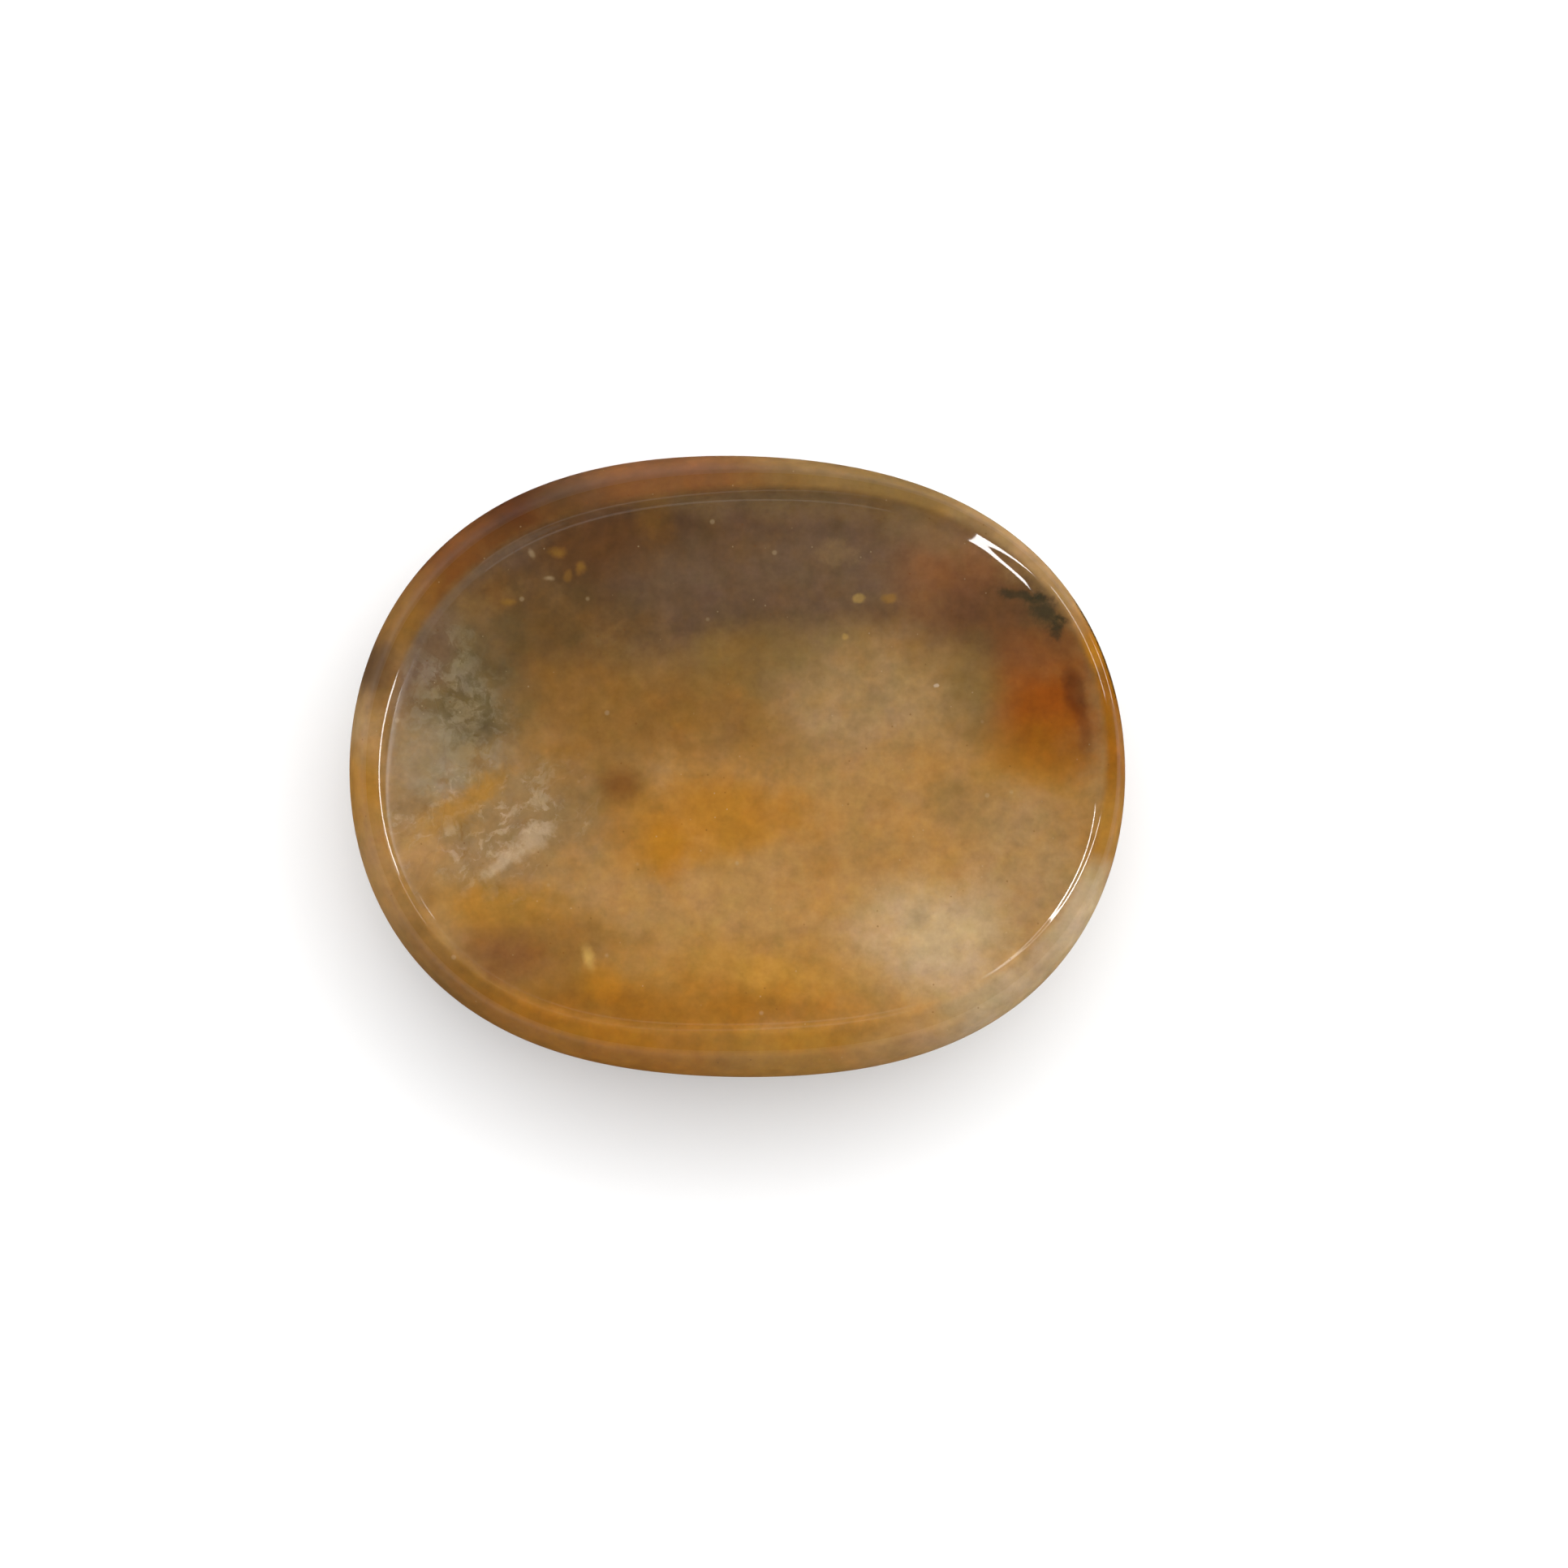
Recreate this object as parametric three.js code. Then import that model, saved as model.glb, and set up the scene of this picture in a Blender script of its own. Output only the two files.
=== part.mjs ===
// A citrine palm stone: one polished oval of cloudy golden quartz. Its edge is rounded, its underside is a
// low dome with a small flat spot that it rests on, and its top is dished for the thumb, inside a narrow lip.
// Millimetres, +Z up. X runs along the stone's length and Y across it, and Z = 0 is the flat spot.
// Insets are measured in from the girdle, and angles run round the stone from +X towards +Y, its back.

import * as THREE from 'three';

// The outline at the girdle, which is the widest level.
const HALF_LENGTH = 30.0;
const HALF_WIDTH = 23.9;
const SHOULDER_FULLNESS = 0.043; // share by which the four shoulders stand outside a plain ellipse
const LOPSIDEDNESS = 0.0042; // share by which hand grinding left the back a little fuller than the front
const FLAT_SIDES = 0.0024; // share that it took off the ends and the sides

// Levels.
const THICKNESS = 10.5;
const GIRDLE_HEIGHT = 7.0;

// The underside: it curves in from the girdle and runs out into the flat spot.
const DOME_INSET = 15.5; // from the girdle to the edge of the flat spot
const DOME_POWER = 2.4; // higher makes the underside flatter
const DOME_SQUARENESS = 2.6; // higher makes its turn at the girdle tighter

// The rounded edge above the girdle, and the bevel that rises from it to the crest of the lip.
const EDGE_ROUND = 1.25; // across, and its height is what the bevel and the girdle leave
const BEVEL_RISE = 0.15; // height gained for each millimetre of inset

// The lip: its crest, and the short steep wall inside it, which is lower and narrower along the front.
const LIP_INSET = 2.5; // from the girdle to the crest
const LIP_SOFTNESS = 0.42; // height over which the bevel and the wall are blended into a round crest
const LIP_WALL_DROP = 0.57;
const LIP_WALL_WIDTH = 1.2;
const LIP_WALL_FRONT = 0.5; // share of the wall that is left along the front
const LIP_FOOT_TIGHTNESS = 4.0; // higher makes the turn from the wall into the dish tighter
const LIP_TURNS = [-0.25, 0.1]; // the sines of the angles between which the front's wall grows into the back's

// The dish inside the wall.
const DISH_DEPTH = 1.7; // from the foot of the back's wall to the middle
const DISH_POWER = 2.2; // higher makes the dish flatter in the middle

// How the lip's width changes round the stone, as shares of the inset: it is narrower at the two ends and
// at the back right, and wider at the front and the left.
const LIP_ENDS = 0.24;
const LIP_CORNERS = 0.19;
const LIP_FRONT = 0.14;
const LIP_LEFT = 0.08;
const LIP_REACH = 9.0; // the change fades out over this distance inside the girdle

// Facets.
const AROUND = 96;
const RINGS_TOP = 34;
const RINGS_UNDER = 14;
const RING_SPREAD = 0.35; // lower draws more of the rings towards the lip

const clamp01 = (value) => Math.min(1, Math.max(0, value));

// The lower of two heights, with a rounded change-over where they are within `softness` of each other.
function smoothMin(a, b, softness) {
  const near = Math.max(softness - Math.abs(a - b), 0) / softness;
  return Math.min(a, b) - (near ** 3 * softness) / 6;
}

// Height of the underside at an inset.
function undersideHeight(inset) {
  const outward = clamp01(1 - inset / DOME_INSET);
  return GIRDLE_HEIGHT * (1 - (1 - outward ** DOME_POWER) ** (1 / DOME_SQUARENESS));
}

// Height of the edge and the bevel, which runs on inwards as if there were no dish.
function edgeHeight(inset, crest) {
  const outward = clamp01(1 - inset / EDGE_ROUND);
  const side = crest - GIRDLE_HEIGHT - BEVEL_RISE * LIP_INSET;
  return GIRDLE_HEIGHT + side * Math.sqrt(1 - outward ** 2) + BEVEL_RISE * inset;
}

// Height of the wall and the dish. Outside the crest they rise clear of the bevel. The dish takes up what
// the wall is short of, so that the middle is one height.
function dishHeight(inset, angle, crest) {
  const inside = inset - LIP_INSET;
  const back = THREE.MathUtils.smoothstep(Math.sin(angle), ...LIP_TURNS);
  const share = LIP_WALL_FRONT + (1 - LIP_WALL_FRONT) * back;
  const down = inside / (LIP_WALL_WIDTH * share);
  const steepening = down / (1 + Math.abs(down) ** LIP_FOOT_TIGHTNESS) ** (1 / LIP_FOOT_TIGHTNESS);
  const wall = LIP_WALL_DROP * share * steepening;
  const depth = DISH_DEPTH + LIP_WALL_DROP * (1 - share);
  const outward = 1 - inside / (HALF_WIDTH - LIP_INSET);
  return crest - wall - depth * (1 - outward ** DISH_POWER);
}

// Height of the top at an inset and an angle. The rounding takes a sixth of its softness off the crest.
function topHeight(inset, angle) {
  const crest = THICKNESS + LIP_SOFTNESS / 6;
  return smoothMin(edgeHeight(inset, crest), dishHeight(inset, angle, crest), LIP_SOFTNESS);
}

// Inset of a ring, for a step from 0 at the girdle to 1 at the middle. The rings crowd towards the lip.
function ringInset(step) {
  return HALF_WIDTH * (RING_SPREAD * step ** 2 + (1 - RING_SPREAD) * step ** 6);
}

// The rings, from the middle of the flat spot out to the girdle, up over the lip and in to the middle of
// the dish. Each has its inset and a function for its height.
function rings() {
  const list = [];
  for (let ring = RINGS_UNDER; ring > 0; ring -= 1) {
    list.push({ inset: ringInset(ring / RINGS_UNDER), height: undersideHeight });
  }
  for (let ring = 0; ring <= RINGS_TOP; ring += 1) {
    list.push({ inset: ringInset(ring / RINGS_TOP), height: topHeight });
  }
  return list;
}

// Inset at an angle round the stone, where the ring's plain inset is widened or narrowed as the lip is.
function handGroundInset(inset, angle) {
  const widening = -LIP_ENDS * Math.cos(2 * angle) - LIP_CORNERS * Math.sin(2 * angle);
  const shift = -LIP_FRONT * Math.sin(angle) - LIP_LEFT * Math.cos(angle);
  const fade = Math.exp(-((inset / LIP_REACH) ** 2));
  return inset * (1 + (widening + shift) * fade);
}

// Distance from the axis of the outline at an angle, drawn in by an inset. The two half sizes shrink so
// that they reach nothing together in the middle.
function outlineRadius(angle, inset) {
  const extra = (HALF_LENGTH / HALF_WIDTH - 1) * (inset / HALF_WIDTH) ** 2;
  const halfLength = Math.max(HALF_LENGTH - inset * (1 + extra), 0);
  const halfWidth = Math.max(HALF_WIDTH - inset, 0);
  if (halfLength === 0 || halfWidth === 0) return 0;
  const ellipse = 1 / Math.hypot(Math.cos(angle) / halfLength, Math.sin(angle) / halfWidth);
  const shoulders = SHOULDER_FULLNESS * Math.sin(2 * angle) ** 2;
  const handCut = -LOPSIDEDNESS * Math.sin(3 * angle) - FLAT_SIDES * Math.cos(6 * angle);
  return ellipse * (1 + shoulders + handCut);
}

// A round turning of the rings, whose points are then drawn out to the oval outline and the uneven lip.
function stoneGeometry() {
  const list = rings();
  const profile = list.map(({ inset, height }) => new THREE.Vector2(HALF_WIDTH - inset, height(inset, 0)));
  const geometry = new THREE.LatheGeometry(profile, AROUND);
  geometry.rotateX(Math.PI / 2);
  const position = geometry.getAttribute('position');
  for (let i = 0; i < position.count; i += 1) {
    const { inset, height } = list[i % list.length];
    const angle = Math.atan2(position.getY(i), position.getX(i));
    const radius = inset < HALF_WIDTH ? outlineRadius(angle, handGroundInset(inset, angle)) : 0;
    position.setXYZ(i, radius * Math.cos(angle), radius * Math.sin(angle), height(inset, angle));
  }
  geometry.computeBoundingBox();
  const { min, max } = geometry.boundingBox;
  geometry.translate(-(min.x + max.x) / 2, -(min.y + max.y) / 2, -min.z);
  geometry.computeVertexNormals();
  return geometry;
}

const polishedCitrine = new THREE.MeshStandardMaterial({ color: 0xa87a42, roughness: 0.08, metalness: 0 });

const stone = new THREE.Mesh(stoneGeometry(), polishedCitrine);
stone.name = 'palm_stone';

const part = new THREE.Group();
part.add(stone);

export default part;
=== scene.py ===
"""A citrine palm stone: a polished oval of cloudy golden quartz, dished for the thumb inside a narrow lip.

Sizes are in millimetres in the stone's own frame and become metres where a mesh, light or camera is made.
X runs along the stone's length and Y across it, and Z = 0 is the flat spot that it rests on.
"""

import math
from typing import NamedTuple

import bpy
from mathutils import Matrix, Vector


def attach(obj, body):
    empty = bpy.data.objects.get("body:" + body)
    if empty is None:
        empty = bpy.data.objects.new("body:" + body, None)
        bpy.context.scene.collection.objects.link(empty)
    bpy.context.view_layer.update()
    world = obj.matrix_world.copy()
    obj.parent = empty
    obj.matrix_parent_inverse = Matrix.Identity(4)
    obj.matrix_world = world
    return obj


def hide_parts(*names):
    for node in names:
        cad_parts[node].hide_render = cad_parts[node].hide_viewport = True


MM = 0.001
NODE = "palm_stone"
BODY = "root"

# The stone's form as it was ground, with insets measured from the girdle, its widest level
FORM = {
    "Half Length": 30.0,
    "Half Width": 23.9,
    "Shoulder Fullness": 0.043,
    "Lopsidedness": 0.0042,
    "Flat Sides": 0.0024,
    "Thickness": 10.5,
    "Girdle Height": 7.0,
    "Dome Inset": 15.5,
    "Dome Power": 2.4,
    "Dome Squareness": 2.6,
    "Edge Round": 1.25,
    "Bevel Rise": 0.15,
    "Lip Inset": 2.5,
    "Lip Softness": 0.42,
    "Lip Wall Drop": 0.57,
    "Lip Wall Width": 1.2,
    "Lip Wall Front": 0.5,
    "Lip Foot Tightness": 4.0,
    "Dish Depth": 1.7,
    "Dish Power": 2.2,
    "Lip Ends": 0.24,
    "Lip Corners": 0.19,
    "Lip Front": 0.14,
    "Lip Left": 0.08,
    "Lip Reach": 9.0,
    "Worn Angle": math.radians(44.5),
    "Worn Width": math.radians(6.0),
    "Worn Softness": 2.6,
    "Waviness": 0.009,
    "Wave Size": 4.5,
    "Ring Spread": 0.35,
}
LIP_TURNS = (-0.25, 0.1)  # the sines of the angles between which the front's low wall grows into the back's
AROUND = 360
RINGS = 250


class Graph:
    """A node tree that is written by calls. add() makes a node, and its settings go in before its sockets."""

    def __init__(self, tree):
        self.tree = tree

    def add(self, kind, settings=None, inputs=None):
        node = self.tree.nodes.new(kind)
        for name, value in (settings or {}).items():
            setattr(node, name, value)
        for key, value in (inputs or {}).items():
            self.plug(value, node.inputs[key])
        return node

    def plug(self, value, socket):
        value = value.socket if isinstance(value, Number) else value
        if isinstance(value, bpy.types.NodeSocket):
            self.tree.links.new(value, socket)
        else:
            socket.default_value = value

    def number(self, socket):
        return Number(self, socket)

    def attribute(self, name):
        return Number(self, self.add("ShaderNodeAttribute", {"attribute_name": name}).outputs["Fac"])

    def vector(self, operation, *values, **named):
        """Vector Math on colours or places, as a vector."""
        inputs = {**dict(enumerate(values)), **named}
        return self.add("ShaderNodeVectorMath", {"operation": operation}, inputs).outputs["Vector"]

    def moved(self, place, centre, turn, reach):
        """The place as seen from an ellipsoid, whose surface is then at a distance of 1."""
        settings = {"vector_type": "TEXTURE"}
        turned = (0.0, 0.0, math.radians(turn))
        inputs = {"Vector": place, "Location": centre, "Rotation": turned, "Scale": reach}
        return self.add("ShaderNodeMapping", settings, inputs).outputs[0]

    def depth(self, place):
        """1 at the middle of a ball whose radius is 1, and 0 at its surface and outside it."""
        node = self.add("ShaderNodeTexGradient", {"gradient_type": "SPHERICAL"}, {0: place})
        return Number(self, node.outputs["Fac"])

    def mix(self, amount, ground, colour):
        """The colour laid over the ground by an amount from 0 to 1."""
        node = self.add("ShaderNodeMix", {"data_type": "RGBA"}, {0: amount, 6: ground, 7: colour})
        return node.outputs[2]

    def noise_node(self, place, size, detail, roughness):
        inputs = {"Vector": place, "Scale": 1.0 / size, "Detail": detail, "Roughness": roughness}
        return self.add("ShaderNodeTexNoise", None, inputs)

    def noise(self, place, size, detail=2.0, roughness=0.5):
        """Smooth noise around 0, within about 0.5 either way, whose lumps are about one size apart."""
        return Number(self, self.noise_node(place, size, detail, roughness).outputs["Fac"]) - 0.5

    def warped(self, place, size, far, detail=4.0):
        """The place, moved about by up to half of far."""
        noise = self.noise_node(place, size, detail, 0.55)
        shift = self.vector("SUBTRACT", noise.outputs["Color"], (0.5, 0.5, 0.5))
        return self.vector("ADD", place, self.vector("SCALE", shift, Scale=far))


class Number:
    """A socket that holds a number. Arithmetic on it adds Math nodes to its tree."""

    def __init__(self, graph, socket):
        self.graph = graph
        self.socket = socket

    def math(self, operation, *others, clamp=False):
        settings = {"operation": operation, "use_clamp": clamp}
        node = self.graph.add("ShaderNodeMath", settings, dict(enumerate((self, *others))))
        return Number(self.graph, node.outputs[0])

    def before(self, operation, other):
        """The operation with the other value first."""
        node = self.graph.add("ShaderNodeMath", {"operation": operation}, {0: other, 1: self})
        return Number(self.graph, node.outputs[0])

    def __add__(self, other):
        return self.math("ADD", other)

    def __sub__(self, other):
        return self.math("SUBTRACT", other)

    def __mul__(self, other):
        return self.math("MULTIPLY", other)

    def __truediv__(self, other):
        return self.math("DIVIDE", other)

    def __pow__(self, other):
        return self.math("POWER", other)

    def __rsub__(self, other):
        return self.before("SUBTRACT", other)

    def __rtruediv__(self, other):
        return self.before("DIVIDE", other)

    def __neg__(self):
        return self * -1.0

    __radd__ = __add__
    __rmul__ = __mul__

    def clamp(self):
        return self.math("ADD", 0.0, clamp=True)

    def bell(self):
        """1 at 0, falling away on both sides."""
        return (-(self * self)).math("EXPONENT")

    def between(self, low, high):
        """0 at low and 1 at high, with a smooth start and end."""
        node = self.graph.add(
            "ShaderNodeMapRange",
            {"interpolation_type": "SMOOTHSTEP"},
            {"Value": self, "From Min": low, "From Max": high},
        )
        return Number(self.graph, node.outputs["Result"])


def outline_radius(angle, half_length, half_width, form):
    """Distance from the axis of the oval outline at an angle, for its two half sizes."""
    across = angle.math("SINE") / half_width
    along = angle.math("COSINE") / half_length
    ellipse = 1.0 / (across * across + along * along).math("SQRT")
    twice = (angle * 2.0).math("SINE")
    shoulders = twice * twice * form["Shoulder Fullness"]
    hand_cut = (angle * 3.0).math("SINE") * form["Lopsidedness"]
    flats = (angle * 6.0).math("COSINE") * form["Flat Sides"]
    return ellipse * (1.0 + shoulders - hand_cut - flats)


def underside_height(inset, form):
    """From the girdle round into a low dome that runs out into the flat spot."""
    outward = (1.0 - inset / form["Dome Inset"]).clamp()
    level = (1.0 - outward ** form["Dome Power"]) ** (1.0 / form["Dome Squareness"])
    return form["Girdle Height"] * (1.0 - level)


def edge_height(inset, crest, form):
    """The rounded edge and its bevel, which runs on inwards as if there were no dish."""
    side = crest - form["Girdle Height"] - form["Bevel Rise"] * form["Lip Inset"]
    outward = (1.0 - inset / form["Edge Round"]).clamp()
    return form["Girdle Height"] + side * (1.0 - outward * outward).math("SQRT") + form["Bevel Rise"] * inset


def wall_share(angle, form):
    """The share of the lip's wall that is left at an angle, which is less than 1 along the front."""
    front = form["Lip Wall Front"]
    return front + (1.0 - front) * angle.math("SINE").between(*LIP_TURNS)


def dish_height(inset, angle, crest, form):
    """The short wall inside the crest and the dish, which takes up what the wall is short of at the front."""
    inside = inset - form["Lip Inset"]
    share = wall_share(angle, form)
    down = inside / (form["Lip Wall Width"] * share)
    tightness = form["Lip Foot Tightness"]
    steepening = down / (1.0 + down.math("ABSOLUTE") ** tightness) ** (1.0 / tightness)
    wall = form["Lip Wall Drop"] * share * steepening
    depth = form["Dish Depth"] + form["Lip Wall Drop"] * (1.0 - share)
    outward = 1.0 - inside / (form["Half Width"] - form["Lip Inset"])
    return crest - wall - depth * (1.0 - outward ** form["Dish Power"])


def top_height(inset, angle, form):
    """The edge, the lip and the dish. The lip's crest is worn rounder at one place."""
    crest = form["Thickness"] + form["Lip Softness"] / 6.0
    worn = ((angle - form["Worn Angle"]) / form["Worn Width"]).bell() * form["Worn Softness"]
    dish = dish_height(inset, angle, crest, form)
    return edge_height(inset, crest, form).math("SMOOTH_MIN", dish, form["Lip Softness"] * (1.0 + worn))


def hand_ground(inset, angle, form):
    """The inset as the lip was ground by hand, narrower at some places round the stone than at others."""
    twice = angle * 2.0
    change = -form["Lip Ends"] * twice.math("COSINE") - form["Lip Corners"] * twice.math("SINE")
    change = change - form["Lip Front"] * angle.math("SINE") - form["Lip Left"] * angle.math("COSINE")
    return inset * (1.0 + change * (inset / form["Lip Reach"]).bell())


def form_tree():
    """Geometry Nodes that bend a grid, once round by once up, into the polished stone."""
    tree = bpy.data.node_groups.new("polished_stone_form", "GeometryNodeTree")
    face = tree.interface
    for name in ("Around", "Rings"):
        face.new_socket(name, in_out="INPUT", socket_type="NodeSocketInt")
    for name in FORM:
        face.new_socket(name, in_out="INPUT", socket_type="NodeSocketFloat")
    face.new_socket("Finish", in_out="INPUT", socket_type="NodeSocketMaterial")
    face.new_socket("Geometry", in_out="OUTPUT", socket_type="NodeSocketGeometry")
    graph = Graph(tree)
    given = graph.add("NodeGroupInput").outputs
    form = {name: graph.number(given[name]) for name in FORM}

    grid = graph.add("GeometryNodeMeshGrid", None, {"Size X": 1.0, "Size Y": 1.0})
    graph.plug(graph.number(given["Around"]) + 1.0, grid.inputs["Vertices X"])
    graph.plug(graph.number(given["Rings"]) + 1.0, grid.inputs["Vertices Y"])
    spot = graph.add("ShaderNodeSeparateXYZ", None, {0: graph.add("GeometryNodeInputPosition").outputs[0]})
    angle = (graph.number(spot.outputs["X"]) + 0.5) * math.tau
    side = graph.number(spot.outputs["Y"]) * 2.0
    on_top = side.math("GREATER_THAN", 0.0)
    step = side.math("ABSOLUTE")
    spread = form["Ring Spread"]
    inset = form["Half Width"] * (spread * step**2.0 + (1.0 - spread) * step**6.0)

    drawn = hand_ground(inset, angle, form)
    extra = (form["Half Length"] / form["Half Width"] - 1.0) * (drawn / form["Half Width"]) ** 2.0
    half_length = (form["Half Length"] - drawn * (1.0 + extra)).math("MAXIMUM", 1e-6)
    half_width = (form["Half Width"] - drawn).math("MAXIMUM", 1e-6)
    radius = outline_radius(angle, half_length, half_width, form)
    flat = {"X": radius * angle.math("COSINE"), "Y": radius * angle.math("SINE")}
    plan = graph.add("ShaderNodeCombineXYZ", None, flat).outputs[0]
    wave = graph.noise(plan, form["Wave Size"], detail=1.0) * form["Waviness"]
    under = underside_height(inset, form)
    height = under + (top_height(inset, angle, form) + wave - under) * on_top

    # The grid is marked before it is bent, because side and inset are read from where its points are
    inside = side.math("SIGN") * inset - form["Lip Inset"]
    down_wall = inside / (form["Lip Wall Width"] * wall_share(angle, form))
    marked = grid.outputs["Mesh"]
    for name, value in {"inside_lip": inside, "down_wall": down_wall}.items():
        mark = {"Geometry": marked, "Name": name, "Value": value}
        marked = graph.add("GeometryNodeStoreNamedAttribute", {"data_type": "FLOAT"}, mark).outputs[0]
    place = {"X": flat["X"] * MM, "Y": flat["Y"] * MM, "Z": height * MM}
    bent = graph.add("GeometryNodeSetPosition", None, {"Geometry": marked})
    graph.plug(graph.add("ShaderNodeCombineXYZ", None, place).outputs[0], bent.inputs["Position"])
    closed = graph.add("GeometryNodeMergeByDistance", None, {"Geometry": bent.outputs[0], "Distance": 1e-7})
    smooth = graph.add("GeometryNodeSetShadeSmooth", None, {"Geometry": closed.outputs[0]})
    real = graph.add("GeometryNodeRealizeInstances", None, {"Geometry": smooth.outputs[0]})
    finished = {"Geometry": real.outputs[0], "Material": given["Finish"]}
    done = graph.add("GeometryNodeSetMaterial", None, finished)
    graph.add("NodeGroupOutput", None, {"Geometry": done.outputs[0]})
    return tree


def make_stone(finish):
    """The stone as one plain mesh, centred over its flat spot."""
    seed = bpy.data.objects.new("seed", bpy.data.meshes.new("seed"))
    bpy.context.scene.collection.objects.link(seed)
    modifier = seed.modifiers.new("form", "NODES")
    modifier.node_group = form_tree()
    values = {"Around": AROUND, "Rings": RINGS, "Finish": finish, **FORM}
    for socket in modifier.node_group.interface.items_tree:
        if socket.name in values:
            modifier[socket.identifier] = values[socket.name]
    evaluated = seed.evaluated_get(bpy.context.evaluated_depsgraph_get())
    mesh = bpy.data.meshes.new_from_object(evaluated)
    mesh.name = "polished_stone"
    bpy.data.objects.remove(seed)

    corners = [v.co for v in mesh.vertices]
    low = Vector(min(c[i] for c in corners) for i in range(3))
    high = Vector(max(c[i] for c in corners) for i in range(3))
    mesh.transform(Matrix.Translation((-(low.x + high.x) / 2, -(low.y + high.y) / 2, -low.z)))
    stone = bpy.data.objects.new("polished_stone", mesh)
    bpy.context.scene.collection.objects.link(stone)
    return stone


def paint(red, green, blue):
    """A colour named by its 8-bit screen values, as the linear numbers that a shader takes."""
    screen = (value / 255 for value in (red, green, blue))
    return (*(s / 12.92 if s <= 0.04045 else ((s + 0.055) / 1.055) ** 2.4 for s in screen), 1.0)


# What colours the quartz: iron stains it honey to ember, and the rest is veils of mica, clay and moss
HONEY = paint(158, 115, 58)
UMBER = paint(92, 65, 38)
BARK = paint(108, 72, 41)
PEAT = paint(104, 76, 38)
MAUVE = paint(116, 90, 65)
CHESTNUT = paint(126, 80, 42)
CINNAMON = paint(142, 94, 56)
RUSSET = paint(116, 68, 24)
RUST = paint(84, 38, 8)
EMBER = paint(148, 78, 14)
COPPER = paint(150, 94, 16)
OCHRE = paint(168, 108, 22)
AMBER = paint(180, 120, 28)
GOLD = paint(174, 124, 44)
YELLOW = paint(192, 140, 56)
STRAW = paint(206, 166, 88)
BRONZE = paint(138, 96, 38)
OLIVE = paint(132, 103, 56)
LICHEN = paint(104, 90, 60)
SAGE = paint(156, 139, 110)
TAN = paint(168, 134, 88)
BLUSH = paint(178, 134, 76)
ROSE = paint(150, 119, 78)
SAND = paint(194, 168, 128)
PEARL = paint(200, 175, 142)
MOSS = paint(48, 50, 32)

# How bright the stone's own colour is, beside how it looks under the bright studio light
OWN_TONE = 0.7


class Cloud(NamedTuple):
    """A cloud of colour in the stone: an ellipsoid with a soft, torn edge."""

    colour: tuple
    centre: tuple  # millimetres along X and Y
    reach: tuple  # its half sizes, along and across, to the middle of that edge
    turn: float = 0.0  # degrees about Z
    strength: float = 0.9
    edge: float = 1.4  # the edge's width, as a share of the reach
    torn: float = 0.7  # how far the edge is torn
    zone: str = "all"  # or only the lip, or only the dish inside it
    level: float = 9.0
    tall: float = 7.0  # half its height


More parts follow.
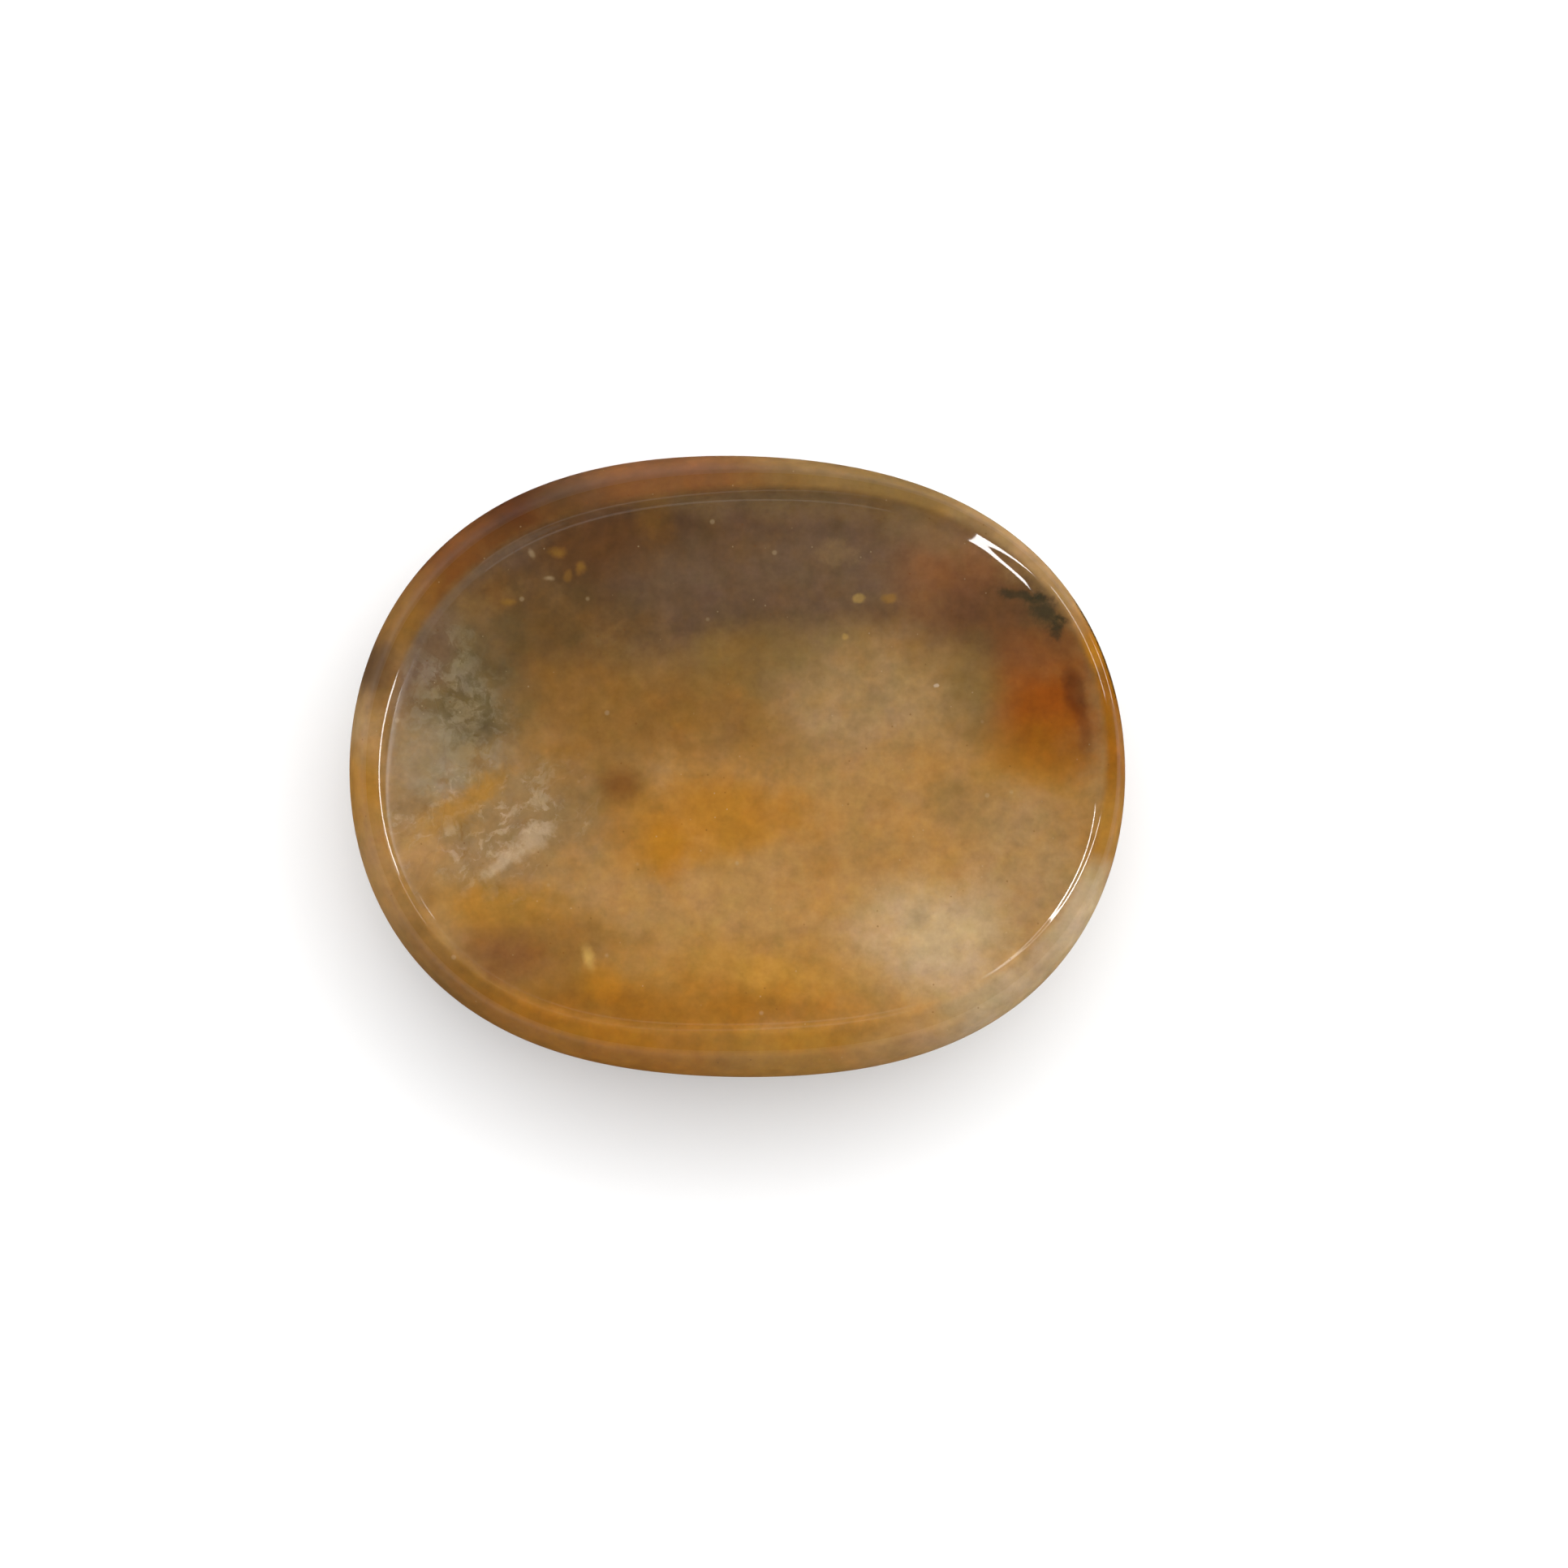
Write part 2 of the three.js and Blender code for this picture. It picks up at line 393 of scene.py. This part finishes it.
# Clouds that drift with the stone's grain, from the broadest to the smallest
CLOUDS = {
    "blush over the front": Cloud(BLUSH, (7, -9), (24, 11)),
    "umber bank along the back": Cloud(UMBER, (-3, 17.2), (23, 8.8), strength=1.0, edge=1.1, torn=1.0),
    "mauve haze in it": Cloud(MAUVE, (7, 15.5), (9, 4.5)),
    "mauve patch left of it": Cloud(MAUVE, (-5, 13.4), (4.6, 3.4), strength=0.75),
    # Painted light: a paler band that lifts the shade on the back wall just under the crest
    "painted light along the back crest": Cloud(ROSE, (1, 20.5), (13, 1.3), strength=0.45, zone="dish"),
    # Painted reflection: a pale mauve band where the wall at the back left mirrors the card at the front
    # right
    "painted reflection along the crest": Cloud(MAUVE, (-17.6, 16.6), (9, 1.2), turn=35, strength=0.6, zone="dish"),
    "tan over the crest": Cloud(TAN, (17, 18.1), (6.5, 1.4), turn=-36, strength=0.6, zone="dish"),
    "russet in the bank": Cloud(RUSSET, (-12, 17), (4, 2.4), strength=0.35),
    "bronze in the bank": Cloud(BRONZE, (-7.2, 19.6), (1.5, 2.4), strength=0.5),
    "reddish end of the bank": Cloud(CINNAMON, (16.4, 15.2), (4, 3.6), strength=0.95),
    "shade under the crest": Cloud(ROSE, (13, 18.6), (4.6, 1.4), turn=-17, strength=0.4, zone="dish"),
    "shade beside the ember": Cloud(BARK, (19.3, 11), (4.8, 3.8), turn=-25, strength=0.95, edge=1.0),
    "olive under it": Cloud(OLIVE, (17.6, 5.9), (3, 3.6), strength=0.9),
    "ember": Cloud(EMBER, (23.8, 4.9), (3.8, 5), strength=1.0, edge=1.2),
    "amber under the ember": Cloud(COPPER, (23, 1.2), (3.2, 2.6), strength=0.7),
    "chestnut over the ember": Cloud(CHESTNUT, (22.4, 9.2), (2.6, 1.8), strength=0.7),
    "gold under the ember": Cloud(GOLD, (21.5, -1.2), (4.4, 2.4), strength=0.5),
    "tan haze": Cloud(TAN, (8.8, 5.2), (6.2, 4.8), strength=1.0, edge=1.1),
    "blush under the haze": Cloud(BLUSH, (12.5, -1), (6, 3.4), strength=0.6),
    "olive right of the middle": Cloud(OLIVE, (1.6, 8), (6, 2.6), turn=12, strength=0.75),
    "peat at the left": Cloud(PEAT, (-15.4, 8.6), (7, 4.2), turn=12, strength=0.85),
    "bronze band": Cloud(BRONZE, (-9.8, 4.2), (9, 3.4), strength=0.85),
    "bronze round the knot": Cloud(BRONZE, (-11.4, -2.2), (5, 3.4), strength=0.75),
    "bronze end of the band": Cloud(BRONZE, (1, 2.2), (5.4, 2), turn=-10, strength=0.4),
    "lichen": Cloud(LICHEN, (-21.6, 4.2), (4.2, 5.4), turn=-10, strength=0.9),
    "mauve beside the lichen": Cloud(MAUVE, (-24.4, 8), (1.8, 4), turn=-24),
    "rose": Cloud(ROSE, (-19, -5.4), (7.6, 5.2), turn=10, strength=0.95, edge=1.0),
    "sage": Cloud(SAGE, (-24.4, -0.8), (3, 3), strength=0.45, torn=1.2),
    "pink beside the crest": Cloud(BLUSH, (-24.9, -7.4), (2, 1.6), strength=0.7),
    "gold under the rose": Cloud(GOLD, (-17.8, -11.4), (5.2, 1.8), turn=-6, strength=0.8, edge=1.2),
    "bronze under the gold": Cloud(BRONZE, (-14.4, -14), (6.4, 2.6), strength=0.85),
    "chestnut at the front left": Cloud(CHESTNUT, (-17.8, -15.6), (3.4, 2), strength=0.75),
    "bronze at the front left": Cloud(BRONZE, (-12.6, -18.4), (7.4, 2.4), strength=0.95),
    "gold along the front": Cloud(GOLD, (1, -16.8), (9.5, 3), strength=0.7),
    "yellow in it": Cloud(YELLOW, (2.8, -16.6), (3, 1.4), strength=0.5),
    "copper along its edge": Cloud(COPPER, (-3, -19.2), (11, 2.3), strength=0.75),
    "amber heart": Cloud(AMBER, (-1.4, -3.8), (6.2, 2.8), strength=0.8),
    "amber glow": Cloud(AMBER, (-5.8, -6.4), (2.4, 1.8), strength=0.9),
    "olive blots at the right": Cloud(OLIVE, (16.3, -2.4), (2.2, 1.8), strength=0.5, torn=1.6),
    "tan at the right": Cloud(TAN, (21.4, -4.4), (3.2, 3), strength=0.7),
    "sand": Cloud(SAND, (15.4, -13), (5.6, 4.2), strength=0.8, edge=1.5),
    "tan beside the sand": Cloud(TAN, (23, -8.4), (2.8, 3.6), strength=0.8),
    "umber underneath": Cloud(UMBER, (9, 4), (10, 7), turn=25, strength=0.7, level=0, tall=3),
    "amber underneath": Cloud(AMBER, (-10, -6), (9, 6), turn=-20, strength=0.7, level=0, tall=3),
    "sand underneath": Cloud(SAND, (-12, 9), (7, 4), turn=10, strength=0.7, level=0, tall=3),
}

# The lip, whose colours are laid apart from the dish's
LIP_CLOUDS = {
    "honey all round": Cloud(HONEY, (0, 0), (60, 60), strength=0.6, zone="lip"),
    "rust": Cloud(RUST, (-17.8, 19.7), (6, 3.4), turn=38, strength=0.9, zone="lip"),
    "umber beside it": Cloud(UMBER, (-12.2, 21.7), (3.8, 3), turn=20, zone="lip"),
    "russet": Cloud(RUSSET, (-24.2, 15), (5, 3.2), turn=50, strength=0.95, zone="lip"),
    "bronze at the left": Cloud(BRONZE, (-26.8, 10.8), (2.8, 2.4), turn=60, zone="lip"),
    "umber at the left": Cloud(UMBER, (-28.5, 6.6), (1.8, 2.2), strength=0.85, zone="lip"),
    "tan at the left": Cloud(TAN, (-28.8, 2), (1.8, 2.6), strength=0.8, zone="lip"),
    "gold at the left": Cloud(GOLD, (-28.8, -2.4), (2, 3), strength=0.8, zone="lip"),
    "honey at the left": Cloud(BLUSH, (-27.8, -8.4), (2.6, 4.2), strength=0.7, zone="lip"),
    "chestnut at the back": Cloud(CHESTNUT, (-6.6, 22.6), (7, 3), strength=1.0, zone="lip"),
    "tan at the back": Cloud(OLIVE, (11.6, 21.2), (9, 3.6), turn=-12, strength=0.85, zone="lip"),
    "tan at the right": Cloud(TAN, (21.4, 15.9), (6, 4), turn=-40, strength=0.8, zone="lip"),
    "amber": Cloud(COPPER, (28.2, 4), (2.8, 7), strength=1.0, zone="lip"),
    "gold at the right": Cloud(GOLD, (28.2, -4.6), (2.4, 3.4), strength=0.8, zone="lip"),
    "bronze at the front left": Cloud(BRONZE, (-20, -18.4), (5, 3.4), turn=-42, zone="lip"),
    "ochre at the front": Cloud(OCHRE, (-9, -22), (10, 3.4), turn=-14, zone="lip"),
    "gold at the front": Cloud(GOLD, (5.6, -22), (7, 3.2), strength=0.9, zone="lip"),
    # Partly the lip's own colour and partly painted light: laid lighter than the lip is, to lift the shade on
    # the front side, which the tent lights less
    "blush with painted light at the front": Cloud(BLUSH, (13.2, -21.4), (4.4, 2.8), turn=22, strength=0.9, zone="lip"),
    # Partly the lip's own colour and partly painted light: pale sand that lifts the shade on the front right
    # of the lip
    "tan with painted light at the front right": Cloud(SAND, (20.2, -17.8), (5.4, 3.5), turn=38, strength=0.8, zone="lip"),
    # Painted reflection: a pale patch where the lip at the front right mirrors the bright floor and light
    # beside it
    "pearl": Cloud(SAND, (26.2, -11.2), (4, 2.6), turn=50, strength=0.95, edge=1.0, zone="lip"),
}

# Marks that keep their places
MARKS = {
    "amber spot": Cloud(AMBER, (-10.2, -16.8), (1.5, 1.2), strength=0.5),
    "amber spot at the right": Cloud(AMBER, (26.7, 9.2), (0.9, 1.3), strength=0.9, zone="lip"),
    "ember's heart": Cloud(RUST, (25.6, 6.2), (0.7, 1.9), turn=12, strength=0.6, edge=1.0),
    "tail of the heart": Cloud(RUST, (26.5, 3.4), (0.5, 2), turn=4, strength=0.35),
    "knot": Cloud(RUSSET, (-9.1, -1.7), (1.3, 1.1), strength=0.6, edge=1.6),
    "gold slip in the rose": Cloud(GOLD, (-21.4, -3.6), (3.8, 1), turn=35, strength=0.7, edge=1.3, torn=1.6),
    "pearl wisp": Cloud(PEARL, (-18, -7.8), (1.8, 0.5), turn=38, strength=0.5, torn=2.2),
    "pearl wisp above it": Cloud(PEARL, (-15.8, -6), (1.5, 0.8), turn=40, strength=0.5, torn=2.0),
    "light wisps in the haze": Cloud(TAN, (7.4, 16.4), (1.3, 0.8), strength=0.22, torn=3.0),
    "moss haze": Cloud(UMBER, (22.8, 12.3), (2.4, 1.4), turn=-40, strength=0.35, torn=2.0),
    "moss": Cloud(MOSS, (23.3, 12.3), (1.5, 0.75), turn=-48, strength=0.72, edge=1.3, torn=3.0),
    "moss arm at the top": Cloud(MOSS, (21.3, 13.5), (1.4, 0.4), turn=-14, strength=0.65, edge=1.2, torn=3.0),
    "moss arm at the foot": Cloud(MOSS, (24.3, 11.1), (0.45, 0.8), strength=0.6, edge=1.2, torn=3.0),
    "pale flake": Cloud(STRAW, (-11.4, -15.1), (0.36, 0.8), turn=16, strength=0.62, edge=1.7, torn=0.8),
    # Painted highlight: a white pinpoint where a small pit in the polish glints
    "painted glint of a pit": Cloud(PEARL, (15, 6.4), (0.15, 0.19), strength=1.0, edge=0.8, torn=0),
    "flake in the bank": Cloud(GOLD, (-14.4, 16), (0.5, 0.34), strength=0.42, edge=1.5, torn=1.0),
    "flake beside it": Cloud(GOLD, (-12.6, 14.8), (0.34, 0.46), strength=0.42, edge=1.5, torn=1.0),
    "faint flake": Cloud(GOLD, (-13.6, 14.2), (0.3, 0.4), strength=0.25, edge=0.9, torn=0.8),
    "pale flake in the bank": Cloud(SAND, (-15, 13.8), (0.34, 0.2), strength=0.4, edge=1.5, torn=1.0),
    "tall pale flake": Cloud(SAND, (-16.4, 15.7), (0.2, 0.34), turn=30, strength=0.35, edge=1.5, torn=1.0),
    "curved flake": Cloud(GOLD, (-18, 12.1), (0.6, 0.24), strength=0.35, edge=1.5, torn=1.6),
    "flake at the right": Cloud(STRAW, (8.9, 13), (0.48, 0.36), strength=0.4, edge=0.9, torn=1.0),
    "flake right of it": Cloud(GOLD, (11.3, 13.1), (0.6, 0.28), turn=10, strength=0.4, edge=0.9, torn=1.2),
    "flake under it": Cloud(STRAW, (7.9, 10), (0.26, 0.24), strength=0.4, edge=0.9, torn=0.8),
}


def cover(graph, cloud, place, torn):
    """How far the cloud covers a place, from 0 to its strength, by the depth inside a shell around it."""
    shell = 1.0 + cloud.edge / 2 + cloud.torn / 2
    reach = [half * shell for half in (*cloud.reach, cloud.tall)]
    depth = graph.depth(graph.moved(place, (*cloud.centre, cloud.level), cloud.turn, reach)) * shell
    return (depth - torn * cloud.torn).between(cloud.torn / 2, cloud.torn / 2 + cloud.edge) * cloud.strength


def lay(graph, colour, clouds, place, torn, zones):
    """The colour with each of the clouds laid over it in turn."""
    for cloud in clouds.values():
        amount = cover(graph, cloud, place, torn)
        if cloud.zone in zones:
            amount = amount * zones[cloud.zone]
        colour = graph.mix(amount, colour, cloud.colour)
    return colour


def quartz(graph, place):
    """The ground colour: honey, with broad drifts of bronze and tan."""
    colour = graph.mix((graph.noise(place, 11.0) * 2.4 + 0.4).clamp(), HONEY, BRONZE)
    return graph.mix((graph.noise(place, 7.0, detail=3.0) * 2.4 + 0.4).clamp(), colour, TAN)


CLEAR = (1.0, 1.0, 1.0, 1.0)


class Veil(NamedTuple):
    """A thin veil all through the stone."""

    tint: tuple  # the shares of red, green and blue that it lets through
    size: float  # about how far apart its patches are
    low: float  # it is clear where its noise is below this
    high: float  # and full where its noise is above this
    shift: tuple  # where its noise is taken, away from the other veils'


VEILS = {
    "amber": Veil((1.08, 0.99, 0.78, 1.0), 3.2, -0.1, 0.28, (31.0, 7.0, 3.0)),
    "rose": Veil((1.04, 1.03, 1.2, 1.0), 2.6, -0.1, 0.28, (5.0, 53.0, 9.0)),
    "umber": Veil((0.85, 0.83, 0.81, 1.0), 2.9, -0.06, 0.3, (17.0, 29.0, 2.0)),
    "green": Veil((0.93, 0.98, 0.93, 1.0), 2.2, -0.08, 0.28, (71.0, 3.0, 8.0)),
    "pale": Veil((1.1, 1.11, 1.13, 1.0), 1.7, -0.04, 0.28, (43.0, 61.0, 5.0)),
}


def veiled(graph, colour, place):
    """The colour seen through each of the veils in turn."""
    for veil in VEILS.values():
        shifted = graph.vector("ADD", place, veil.shift)
        amount = graph.noise(shifted, veil.size, detail=5.0, roughness=0.58).between(veil.low, veil.high)
        colour = graph.vector("MULTIPLY", colour, graph.mix(amount, CLEAR, veil.tint))
    return colour


CURL_PATCH = Cloud(SAGE, (-22.3, 1.6), (4.4, 7.2), strength=1.0, edge=0.8, torn=1.2)
WISP_PATCH = Cloud(PEARL, (-19.6, -4.8), (7, 4.4), turn=12, strength=1.0, edge=0.8, torn=1.2)
CURL_SIZE = 1.5
WISP_TURN = 35.0
WISP_REACH = (2.6, 0.9, 1.6)  # along the strokes that comb the wisps, across them and downwards


def wisps(graph, colour, place, torn, zones):
    """Curls of sage in the lichen, and combed wisps of pearl and gold in the rose below it."""
    curl_patch = cover(graph, CURL_PATCH, place, torn) * zones["dish"]
    curled = graph.warped(place, 1.8, 3.0)
    curls = graph.noise(curled, CURL_SIZE, detail=4.0, roughness=0.6).between(-0.08, 0.12)
    colour = graph.mix(curls * curl_patch * 0.5, colour, SAGE)
    wisp_patch = cover(graph, WISP_PATCH, place, torn) * zones["dish"]
    combed = graph.moved(curled, (3.0, 1.0, 0.0), WISP_TURN, WISP_REACH)
    light = graph.noise(combed, 1.0, detail=4.0, roughness=0.62).between(0.0, 0.14)
    colour = graph.mix(light * wisp_patch * 0.4, colour, PEARL)
    golden = graph.noise(graph.moved(combed, (7.0, 2.0, 4.0), 0.0, (1.0, 1.0, 1.0)), 1.0, detail=4.0)
    return graph.mix(golden.between(0.06, 0.2) * wisp_patch * 0.5, colour, BRONZE)


class Flecks(NamedTuple):
    """Round flecks of one colour, in a share of the cells that are about one distance apart."""

    colour: tuple
    apart: float
    radius: float
    share: float
    strength: float


FLECKS = {
    "sand grains": Flecks(SAND, apart=2.4, radius=0.26, share=0.3, strength=0.3),
    "sand dust": Flecks(SAND, apart=0.9, radius=0.09, share=0.25, strength=0.4),
    "russet dust": Flecks(RUSSET, apart=1.1, radius=0.1, share=0.4, strength=0.5),
}
FLECK_CORE = 0.4  # the share of a fleck's radius inside which it is full


def flecked(graph, colour, place):
    """The colour with each kind of fleck laid over it in turn."""
    for kind in FLECKS.values():
        spacing = {"Vector": place, "Scale": 1.0 / kind.apart}
        cells = graph.add("ShaderNodeTexVoronoi", {"feature": "F1"}, spacing).outputs
        away = graph.number(cells["Distance"]) * kind.apart
        luck = graph.number(graph.add("ShaderNodeSeparateColor", None, {0: cells["Color"]}).outputs[0])
        chosen = luck.math("GREATER_THAN", 1.0 - kind.share)
        amount = away.between(kind.radius, kind.radius * FLECK_CORE) * chosen * kind.strength
        colour = graph.mix(amount, colour, kind.colour)
    return colour


IOR = 1.54  # quartz
POLISH_ROUGH = 0.05
SATIN_ROUGH = {"side": 0.5, "foot": 0.3}
SATIN_SHEEN = 0.25  # half of what a bare quartz surface mirrors
POLISHED_SIDE = Cloud(CLEAR, (27.3, 9.4), (3, 4.4), strength=1.0, edge=0.5, torn=0)
DULL_FOOT = Cloud(CLEAR, (-26, -2), (4, 11), strength=1.0, edge=0.5, torn=0)


def polish(graph, shader, place, torn, inside, down_wall):
    """A coat of high polish, worn to satin down the upper side and along the lip's foot at the left."""
    upper_side = inside.between(-0.85, -1.25) - inside.between(-2.5, -3.0)
    side = upper_side * (1.0 - cover(graph, POLISHED_SIDE, place, torn))
    foot = down_wall.between(0.6, 0.8) * cover(graph, DULL_FOOT, place, torn)
    satin = side * (SATIN_ROUGH["side"] - POLISH_ROUGH) + foot * (SATIN_ROUGH["foot"] - POLISH_ROUGH)
    graph.plug(satin + POLISH_ROUGH, shader.inputs["Roughness"])
    graph.plug(1.0 - side.math("MAXIMUM", foot), shader.inputs["Coat Weight"])
    shader.inputs["Coat Roughness"].default_value = POLISH_ROUGH
    shader.inputs["Coat IOR"].default_value = IOR
    shader.inputs["IOR"].default_value = IOR
    shader.inputs["Specular IOR Level"].default_value = SATIN_SHEEN


# How far the torn edges between lip and dish reach, as insets from the crest
DISH_STARTS = (-0.4, 0.6)

# How light scatters under the polish
GLOW_SHARE = 0.38
GLOW_REACH = 0.8
GLOW_TINT = (1.0, 0.6, 0.3)


def stone_finish():
    material = bpy.data.materials.new("cloudy_citrine")
    material.use_nodes = True
    graph = Graph(material.node_tree)
    shader = material.node_tree.nodes["Principled BSDF"]

    coordinates = graph.add("ShaderNodeTexCoord").outputs["Object"]
    place = graph.vector("SCALE", coordinates, Scale=1.0 / MM)
    drifted = graph.warped(place, 6.0, 4.0, detail=5.0)
    torn = graph.noise(place, 3.0, detail=6.0, roughness=0.6)
    finely_torn = graph.noise(place, 0.9, detail=6.0, roughness=0.68)
    inside = graph.attribute("inside_lip")
    in_dish = (inside + torn * 0.5).between(*DISH_STARTS)
    zones = {"dish": in_dish, "lip": 1.0 - in_dish}

    colour = lay(graph, quartz(graph, place), CLOUDS, drifted, torn, zones)
    colour = wisps(graph, colour, drifted, torn, zones)
    colour = lay(graph, colour, LIP_CLOUDS, drifted, torn, zones)
    colour = veiled(graph, colour, place)
    colour = flecked(graph, colour, place)
    colour = lay(graph, colour, MARKS, graph.warped(place, 1.6, 0.8), finely_torn, zones)

    fine = graph.noise(place, 1.1, detail=3.0) * 0.5 + graph.noise(place, 0.35, detail=3.0) * 0.25
    colour = graph.vector("SCALE", colour, Scale=(1.0 + fine) * OWN_TONE)
    graph.plug(colour, shader.inputs["Base Color"])
    polish(graph, shader, place, torn, inside, graph.attribute("down_wall"))
    shader.inputs["Subsurface Weight"].default_value = GLOW_SHARE
    shader.inputs["Subsurface Radius"].default_value = GLOW_TINT
    shader.inputs["Subsurface Scale"].default_value = GLOW_REACH * MM
    return material


# The camera: nearly straight down, from a little in front and to the left
PHOTO_SIDE = 1932
STONE_PIXEL = (910.3, 943.7)
PIXELS_PER_MM = 15.98
LENS = 135.0
SENSOR = 36.0
VIEW_ELEVATION = 84.5
VIEW_AZIMUTH = -58.0
VIEW_ROLL = 1.0


def make_camera(aim_height):
    camera = bpy.data.objects.new("camera", bpy.data.cameras.new("camera"))
    camera.data.lens = LENS
    camera.data.sensor_width = SENSOR
    distance = LENS * PHOTO_SIDE / (SENSOR * PIXELS_PER_MM)
    azimuth, elevation = math.radians(VIEW_AZIMUTH), math.radians(VIEW_ELEVATION)
    back = Vector(
        (
            math.sin(azimuth) * math.cos(elevation),
            -math.cos(azimuth) * math.cos(elevation),
            math.sin(elevation),
        )
    )
    up = Matrix.Rotation(math.radians(VIEW_ROLL), 3, "Z") @ Vector((0.0, 1.0, 0.0))
    right = up.cross(back).normalized()
    up = back.cross(right)
    aside = (PHOTO_SIDE / 2 - STONE_PIXEL[0]) / PIXELS_PER_MM
    below = (PHOTO_SIDE / 2 - STONE_PIXEL[1]) / PIXELS_PER_MM
    place = Vector((0.0, 0.0, aim_height)) + back * distance + right * aside - up * below
    camera.matrix_world = Matrix.Translation(place * MM) @ Matrix((right, up, back)).transposed().to_4x4()
    camera.data.clip_start = 0.01
    bpy.context.scene.collection.objects.link(camera)
    bpy.context.scene.camera = camera


def toward(azimuth, elevation):
    """The unit direction from the stone, with azimuth turned in degrees from +X towards +Y."""
    a, e = math.radians(azimuth), math.radians(elevation)
    return Vector((math.cos(a) * math.cos(e), math.sin(a) * math.cos(e), math.sin(e)))


LIGHT_DISTANCE = 1500.0


class Softbox(NamedTuple):
    """A light that faces the stone, with its place and its spread in degrees as seen from there."""

    azimuth: float
    elevation: float
    wide: float
    high: float
    radiance: float


# What the polish mirrors; the tent gives the rest of the light
SOFTBOXES = {
    "window_right": Softbox(6, 39, 31, 11, 11),
    "window_back_left": Softbox(149, 41, 22, 5.5, 13),
    "window_back_left_end": Softbox(132, 42, 38, 2.5, 3),
    "window_front_left": Softbox(239, 46, 15, 12, 14),
    "window_low_right": Softbox(28, 57, 12, 2.5, 7),
    "card_front_right": Softbox(-35, 23, 50, 38, 0.2),
    "strip_back": Softbox(68, 50, 40, 4, 0.45),
    "strip_front": Softbox(-70, 45, 36, 4, 0.45),
}


def hang_softbox(name, box):
    data = bpy.data.lights.new(name, "AREA")
    data.shape = "RECTANGLE"
    data.size = 2 * LIGHT_DISTANCE * math.tan(math.radians(box.wide / 2)) * MM
    data.size_y = 2 * LIGHT_DISTANCE * math.tan(math.radians(box.high / 2)) * MM
    data.energy = box.radiance * math.pi * data.size * data.size_y
    light = bpy.data.objects.new(name, data)
    outward = toward(box.azimuth, box.elevation)
    light.location = outward * LIGHT_DISTANCE * MM
    light.rotation_mode = "QUATERNION"
    light.rotation_quaternion = outward.to_track_quat("Z", "Y")
    light.visible_diffuse = False
    bpy.context.scene.collection.objects.link(light)


TENT_LIT_FROM = 77.0  # azimuth of its brightest side
TENT_SIDES = 2.05
TENT_LEAN = 2.0  # how much brighter and dimmer than that its brightest and its dimmest side are
TENT_TOP = 0.5
TENT_SHOULDERS = (0.95, 0.45)  # heights, as sines, between which the dim top turns into the bright sides
TENT_MIRRORED = 0.07  # how bright it is to the polish, which mirrors its dark seams


def hang_tent():
    """The white tent around the stone, lit through its sides, as the world."""
    world = bpy.data.worlds.new("tent")
    world.use_nodes = True
    graph = Graph(world.node_tree)
    direction = graph.add("ShaderNodeTexCoord").outputs["Generated"]
    facing = graph.add(
        "ShaderNodeVectorMath", {"operation": "DOT_PRODUCT"}, {0: direction, 1: toward(TENT_LIT_FROM, 0.0)}
    )
    height = graph.number(graph.add("ShaderNodeSeparateXYZ", None, {0: direction}).outputs["Z"])
    sides = graph.number(facing.outputs["Value"]) * TENT_LEAN + TENT_SIDES
    lit = sides * height.between(*TENT_SHOULDERS) + TENT_TOP
    seen = height.between(0.0, 0.3) * TENT_MIRRORED
    mirrored = graph.number(graph.add("ShaderNodeLightPath").outputs["Is Glossy Ray"])
    background = world.node_tree.nodes["Background"]
    background.inputs["Color"].default_value = (1.0, 1.0, 1.0, 1.0)
    graph.plug(lit + (seen - lit) * mirrored, background.inputs["Strength"])
    # The world is found by the rays themselves, so that what the stone mirrors of it stays dim
    world.cycles.sampling_method = "NONE"
    bpy.context.scene.world = world


FLOOR_REACH = 3000.0
FLOOR_DROP = 0.02  # keeps it just clear of the flat spot
PAPER_WHITE = (0.9, 0.9, 0.9, 1.0)


def lay_floor():
    mesh = bpy.data.meshes.new("floor")
    reach = FLOOR_REACH * MM
    corners = [(-reach, -reach, 0), (reach, -reach, 0), (reach, reach, 0), (-reach, reach, 0)]
    mesh.from_pydata(corners, [], [(0, 1, 2, 3)])
    floor = bpy.data.objects.new("floor", mesh)
    floor.location.z = -FLOOR_DROP * MM
    floor.visible_glossy = False
    paper = bpy.data.materials.new("white_paper")
    paper.use_nodes = True
    shader = paper.node_tree.nodes["Principled BSDF"]
    shader.inputs["Base Color"].default_value = PAPER_WHITE
    shader.inputs["Roughness"].default_value = 1.0
    shader.inputs["Specular IOR Level"].default_value = 0.0
    mesh.materials.append(paper)
    bpy.context.scene.collection.objects.link(floor)


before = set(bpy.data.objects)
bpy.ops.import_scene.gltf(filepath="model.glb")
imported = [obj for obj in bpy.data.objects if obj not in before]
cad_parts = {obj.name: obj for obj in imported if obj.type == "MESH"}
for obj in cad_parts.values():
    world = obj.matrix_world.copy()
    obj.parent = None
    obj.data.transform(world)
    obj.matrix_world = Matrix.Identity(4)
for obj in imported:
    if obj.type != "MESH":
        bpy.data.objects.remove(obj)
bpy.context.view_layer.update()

stone = make_stone(stone_finish())
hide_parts(NODE)
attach(stone, BODY)

lay_floor()
hang_tent()
for name, box in SOFTBOXES.items():
    hang_softbox(name, box)
bpy.context.scene.view_settings.view_transform = "Standard"
make_camera(FORM["Girdle Height"])
